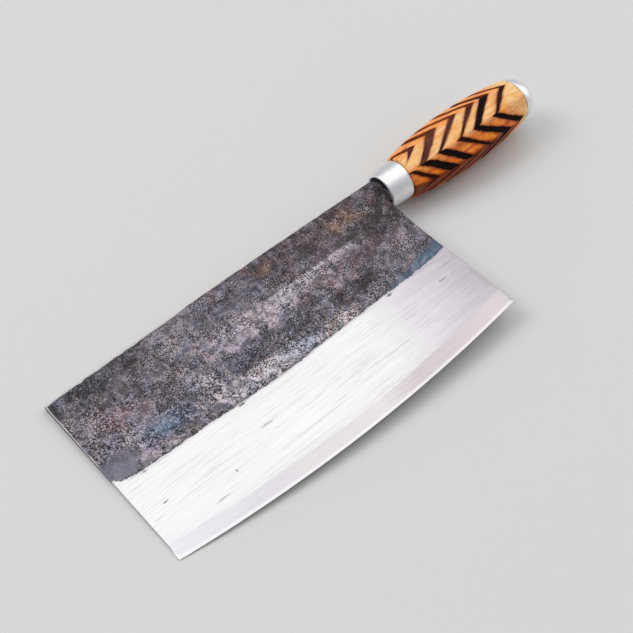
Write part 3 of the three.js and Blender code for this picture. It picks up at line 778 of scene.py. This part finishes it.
bpy.ops.object.select_all(action="DESELECT")
bpy.ops.mesh.primitive_grid_add(x_subdivisions=along_count, y_subdivisions=grip_sides * side_count, size=2)
grip = bpy.context.object
marks = {name: grip.data.attributes.new(name, "FLOAT", "POINT") for name in ("scorch", "black", "toast_and_shade")}
for vertex in grip.data.vertices:
    x = grip_front + (vertex.co.x + 1) / 2 * (grip_rear - grip_front)
    place_round = round((vertex.co.y + 1) / 2 * grip_sides * side_count) % (grip_sides * side_count)
    facet, across = place_round // side_count, place_round % side_count / side_count
    half_facet = (grip_ridges[facet + 1] - grip_ridges[facet]) / 2
    turn = math.atan((2 * across - 1) * math.tan(half_facet))
    angle = grip_ridges[facet] + half_facet + turn
    radius = grip_radius(x)
    to_ridge = (half_facet - abs(turn)) * radius
    eased = ridge_ease * max(1 - to_ridge / ridge_ease_width, 0) ** 2
    end_round = end_ease * max(1 - min(x - grip_front, grip_rear - x) / end_ease_width, 0) ** 2
    inside, black = nearest_band(facet, x, across)
    cut = groove_depth * min(max(inside / groove_wall, 0), 1)
    worn = plane_wander * noise.noise(Vector((x / plane_mark, angle * 2, 0)))
    reach = radius * math.cos(half_facet) / math.cos(turn) - eased - end_round - cut - worn
    vertex.co = (x * mm, -reach * mm * math.sin(angle), reach * mm * math.cos(angle))
    # The toast mark holds the iron's toasting together with painted shade on the facets turned away from the
    # light
    toast_width = ridge_toast_wander * noise.noise(Vector((x / ridge_toast_length, facet, 0)))
    over_ridge = ridge_toast * max(1 - to_ridge / (ridge_toast_width + toast_width), 0)
    beside = facet_toast_and_shade[(facet + (1 if across > 0.5 else -1)) % grip_sides]
    toasted_and_shaded = facet_toast_and_shade[facet] * (1 - over_ridge) + beside * over_ridge
    toasted_and_shaded *= 0.8 + 0.45 * share_to_notch(facet, across) ** 2
    toasted_and_shaded *= min(max((grip_rear - pale_end - x) / pale_fade, 0.05), 1)
    for name, value in {"scorch": inside, "black": black, "toast_and_shade": toasted_and_shaded}.items():
        marks[name].data[vertex.index].value = value

bpy.ops.object.mode_set(mode="EDIT")
bpy.ops.mesh.select_all(action="SELECT")
bpy.ops.mesh.remove_doubles(threshold=merge_distance)
bpy.ops.mesh.normals_make_consistent(inside=False)


def ring_on(x, radius):
    """Extrudes the selected ring and makes the new one round, at a place along the handle's axis."""
    bpy.ops.object.mode_set(mode="EDIT")
    bpy.ops.mesh.extrude_region_move()
    bpy.ops.object.mode_set(mode="OBJECT")
    for vertex in grip.data.vertices:
        if vertex.select:
            angle = math.atan2(vertex.co.z, vertex.co.y)
            vertex.co = (x * mm, radius * mm * math.cos(angle), radius * mm * math.sin(angle))
    bpy.ops.object.mode_set(mode="EDIT")


def choose_ring(x):
    bpy.ops.object.mode_set(mode="EDIT")
    bpy.ops.mesh.select_mode(type="EDGE")
    bpy.ops.mesh.select_all(action="DESELECT")
    bpy.ops.object.mode_set(mode="OBJECT")
    for edge in grip.data.edges:
        edge.select = all(abs(grip.data.vertices[end].co.x - x * mm) < 0.001 * mm for end in edge.vertices)
    bpy.ops.object.mode_set(mode="EDIT")


choose_ring(grip_front)
ring_on(grip_front, ferrule_bore - seat_gap)
ring_on(spigot_front, ferrule_bore - seat_gap)
ring_on(spigot_front, grip_bore)
choose_ring(grip_rear)
ring_on(grip_rear, cap_bore - seat_gap)
ring_on(spigot_rear, cap_bore - seat_gap)
ring_on(spigot_rear, grip_bore)
bpy.ops.mesh.select_all(action="DESELECT")
bpy.ops.mesh.select_non_manifold()
bpy.ops.mesh.bridge_edge_loops()
bpy.ops.mesh.select_all(action="SELECT")
bpy.ops.mesh.normals_make_consistent(inside=False)
bpy.ops.object.mode_set(mode="OBJECT")
lay_down(grip, "carved_grip", 35)
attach(grip, "root")
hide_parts("handle_grip")

# Pale hardwood, oiled: tan with fine darker grain lines along the handle. The hot iron leaves the carved
# bands brown to black and toasts the wood beside them orange.
wood, shader, place = finish_of(grip, "scorched_hardwood")
band = add(wood, "Attribute", {}, "Fac", attribute_name="scorch")
grain_length, grain_width, pore_length, pore_width = 40, 1.3, 5, 0.3
streak_length, streak_width, blush_size, pore_depth = 6, 2.2, 9, 0.15 * mm
along_grain = (1 / grain_length, 1 / grain_width, 1 / grain_width)
along_pores = (1 / pore_length, 1 / pore_width, 1 / pore_width)
along_streaks = (1 / streak_length, 1 / streak_width, 1 / streak_width)
stretched = add(wood, "VectorMath", {0: place, 1: along_grain}, operation="MULTIPLY")
grain = add(wood, "TexNoise", {"Vector": stretched, "Scale": 1, "Detail": 4, "Roughness": 0.6})
stretched = add(wood, "VectorMath", {0: place, 1: along_pores}, operation="MULTIPLY")
pores = add(wood, "TexNoise", {"Vector": stretched, "Scale": 1, "Detail": 2})
blush = add(wood, "TexNoise", {"Vector": place, "Scale": 1 / blush_size, "Detail": 4, "Roughness": 0.6})
facet_share = add(wood, "Attribute", {}, "Fac", attribute_name="toast_and_shade")
colour = add(wood, "ValToRGB", {"Fac": grain}, stops=[
    (0.3, "#d99552"), (0.42, "#f0ba78"), (0.56, "#f9d094"), (0.72, "#fde0b0")])
pore_dark = add(wood, "MapRange", {"Value": pores, 1: 0.6, 2: 0.72, 3: 0, 4: 0.5})
colour = add(wood, "Mix", {0: pore_dark, 6: colour, 7: linear("#8a5628")}, 2, data_type="RGBA")

# The iron's heat and painted shade: facets browned partly by the iron and partly as painted shade, orange
# streaks, a dark brown painted shade over the most browned facets, and singed wood close to the bands
toast_and_shade = add(wood, "Math", {0: blush, 1: 4, 2: band}, operation="MULTIPLY_ADD")
toast_and_shade = add(wood, "MapRange", {"Value": toast_and_shade, 1: -2, 2: 1.4, 3: 0.75, 4: 1})
toast_and_shade = add(wood, "Math", {0: toast_and_shade, 1: facet_share}, operation="MULTIPLY", use_clamp=True)
streaks = add(wood, "VectorMath", {0: place, 1: along_streaks}, operation="MULTIPLY")
streaks = add(wood, "TexNoise", {"Vector": streaks, "Scale": 1, "Detail": 5, "Roughness": 0.65})
toast_colour = add(wood, "ValToRGB", {"Fac": streaks}, stops=[
    (0.34, "#a83a02"), (0.46, "#ea6a06"), (0.58, "#fb8a1c"), (0.7, "#ffb05a")])
flush = add(wood, "MapRange", {"Value": streaks, 1: 0.5, 2: 0.68, 3: 0, 4: 0.6})
colour = add(wood, "Mix", {0: flush, 6: colour, 7: linear("#ee9838")}, 2, data_type="RGBA")
flush = add(wood, "MapRange", {"Value": blush, 1: 0.47, 2: 0.62, 3: 0, 4: 0.55})
colour = add(wood, "Mix", {0: flush, 6: colour, 7: linear("#e8954a")}, 2, data_type="RGBA")
colour = add(wood, "Mix", {0: toast_and_shade, 6: colour, 7: toast_colour}, 2, data_type="RGBA")
# Dark brown over the most browned facets, which face away from the light: mostly painted shade, partly
# scorching
scorch_and_shade = add(wood, "Math", {0: blush, 1: 0.5, 2: facet_share}, operation="MULTIPLY_ADD")
scorch_and_shade = add(wood, "MapRange", {"Value": scorch_and_shade, 1: 1.3, 2: 1.65, 3: 0, 4: 0.85})
colour = add(wood, "Mix", {0: scorch_and_shade, 6: colour, 7: linear("#601d04")}, 2, data_type="RGBA")
singed = add(wood, "Math", {0: blush, 1: 1.6, 2: band}, operation="MULTIPLY_ADD")
singed = add(wood, "MapRange", {"Value": singed, 1: -0.3, 2: 0.8, 3: 0, 4: 0.85})
colour = add(wood, "Mix", {0: singed, 6: colour, 7: linear("#7c2a0b")}, 2, data_type="RGBA")

# The carved bands, burnt brown to black and matt
edge = add(wood, "Math", {0: grain, 1: 0.3, 2: band}, operation="MULTIPLY_ADD")
burnt = add(wood, "MapRange", {"Value": edge, 1: 0.03, 2: 0.21, 3: 0, 4: 1})
black = add(wood, "Attribute", {}, "Fac", attribute_name="black")
char = add(wood, "ValToRGB", {"Fac": blush}, stops=[(0.35, "#4a2524"), (0.5, "#5c322f"), (0.65, "#744640")])
char = add(wood, "Mix", {0: facet_share, 6: char, 7: linear("#64280d")}, 2, data_type="RGBA")
char = add(wood, "Mix", {0: black, 6: char, 7: linear("#130603")}, 2, data_type="RGBA")
colour = add(wood, "Mix", {0: burnt, 6: colour, 7: char}, 2, data_type="RGBA")
height = add(wood, "Math", {0: pores, 1: -0.5, 2: grain}, operation="MULTIPLY_ADD")
normal = add(wood, "Bump", {"Strength": 0.35, "Distance": pore_depth, "Height": height})
roughness = add(wood, "MapRange", {"Value": burnt, 1: 0, 2: 1, 3: 0.5, 4: 0.75})
gloss = add(wood, "MapRange", {"Value": burnt, 1: 0, 2: 1, 3: 0.2, 4: 0.1})
for socket, value in {
    "Base Color": colour, "Roughness": roughness, "Specular IOR Level": gloss, "Normal": normal}.items():
    wood.links.new(value, shader.inputs[socket])

# End cap
# A dome turned from aluminium bar, with a socket for the rear spigot of the grip, a seat for the washer and a
# slot for the tang. The rivet head pulls it against the wood.
cap_rim, cap_floor = grip_rear + seat_gap, spigot_rear + seat_gap
cap_radius, cap_height, dome_steps, start_radius = 10.8, 9.2, 26, 1
seat_depth, washer_seat_radius = 1.7, 4.7
rim_round = [(0, 0.25), (0.1, 0.07)]
washer_seat = cap_rim + cap_height - seat_depth
seat_angle = math.acos(washer_seat_radius / cap_radius)
dome = []
for step in range(1, dome_steps + 1):
    angle = seat_angle * step / dome_steps
    dome.append((cap_rim + cap_height * math.sin(angle), cap_radius * math.cos(angle)))
cap = turn_rings([
    (cap_floor, start_radius),
    (cap_floor, cap_bore),
    (cap_rim, cap_bore),
    *[(cap_rim + rise, cap_radius - inset) for rise, inset in rim_round],
    *dome,
    (washer_seat, washer_seat_radius),
    (washer_seat, start_radius),
])
slot_for_tang(cap, cap_floor - overcut, washer_seat + overcut, tang_half_height)
lay_down(cap, "domed_end_cap", 35)
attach(cap, "root")
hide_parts("end_cap")
turned_aluminium(cap, "turned_aluminium_cap")

# Rivet washer
# A washer punched from mild steel, sunk in the crown of the cap. The end of the tang is hammered over it,
# which holds the handle together.
washer_start, washer_thickness, washer_radius, washer_round = 97.5, 0.8, 4.4, 0.15
washer = turn_rings([
    (washer_start, start_radius),
    (washer_start, washer_radius),
    (washer_start + washer_thickness - washer_round, washer_radius),
    (washer_start + washer_thickness, washer_radius - washer_round),
    (washer_start + washer_thickness, start_radius),
], small_sides)
slot_for_tang(washer, washer_start - overcut, washer_start + washer_thickness + overcut, tang_half_height)
lay_down(washer, "rivet_washer_punched", 35)
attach(washer, "root")
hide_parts("rivet_washer")

# Plain mild steel, filed by hand: grey, with fine crossing scratches
filed, shader, place = finish_of(washer, "filed_mild_steel")
file_mark, file_depth = 0.5, 0.1 * mm
scratches = add(filed, "TexNoise", {"Vector": place, "Scale": 1 / file_mark, "Detail": 5, "Roughness": 0.7})
colour = add(filed, "ValToRGB", {"Fac": scratches}, stops=[(0.3, "#7d7a77"), (0.7, "#a9a6a2")])
normal = add(filed, "Bump", {"Strength": 0.25, "Distance": file_depth, "Height": scratches})
filed.links.new(colour, shader.inputs["Base Color"])
filed.links.new(normal, shader.inputs["Normal"])
shader.inputs["Metallic"].default_value = 1
shader.inputs["Roughness"].default_value = 0.42

# Studio
# A plain floor of pale matt paper under one large soft lamp overhead and two smaller ones, beyond the toe and
# beyond the butt. All stand well away, so that the floor is evenly lit.
floor_size, floor_drop = 60, 0.1 * mm
bpy.ops.object.select_all(action="DESELECT")
bpy.ops.mesh.primitive_plane_add(size=floor_size, location=(0, 0, -floor_drop))
floor = bpy.context.object
floor.name = "studio_floor"
paper = bpy.data.materials.new("floor_paper")
paper.use_nodes = True
shader = paper.node_tree.nodes["Principled BSDF"]
shader.inputs["Base Color"].default_value = linear("#d3d2d0")
shader.inputs["Roughness"].default_value = 0.9
floor.data.materials.append(paper)

world = bpy.data.worlds.new("studio_air")
world.use_nodes = True
air = world.node_tree.nodes["Background"]
air.inputs["Color"].default_value = linear("#e9ebee")
air.inputs["Strength"].default_value = 0.5
bpy.context.scene.world = world


def soft_lamp(name, place, aim, size, power):
    bpy.ops.object.light_add(type="AREA", location=place)
    lamp = bpy.context.object
    lamp.name = name
    lamp.data.shape = "SQUARE"
    lamp.data.size = size
    lamp.data.energy = power
    lamp.rotation_euler = (Vector(aim) - Vector(place)).to_track_quat("-Z", "Y").to_euler()


soft_lamp("overhead_lamp", (1.7, 1, 4.6), (1.7, 1, 0), 5.5, 105)
soft_lamp("side_lamp", (-2.5, 2, 3.25), (0, 0, 0), 2.5, 85)
soft_lamp("end_lamp", (4.5, -1, 2.5), (0, 0, 0), 3, 50)

# Camera
# It stands where the photograph was taken from. Its place, its turn and its lens were worked out from the
# blade's corners, on the knife's own axes.
camera_place = laid_down @ Vector((-292.8 * mm, -297.5 * mm, 487.8 * mm))
camera_back = laid_down.to_3x3() @ Vector((-0.37053, -0.44107, 0.81736))
camera_up = laid_down.to_3x3() @ Vector((0.54524, 0.60912, 0.57586))
camera_right = camera_up.cross(camera_back)
bpy.ops.object.camera_add()
camera = bpy.context.object
camera.data.lens = 75.85
camera.matrix_world = Matrix((camera_right, camera_up, camera_back)).transposed().to_4x4()
camera.location = camera_place
bpy.context.scene.camera = camera
bpy.context.scene.view_settings.view_transform = "Standard"
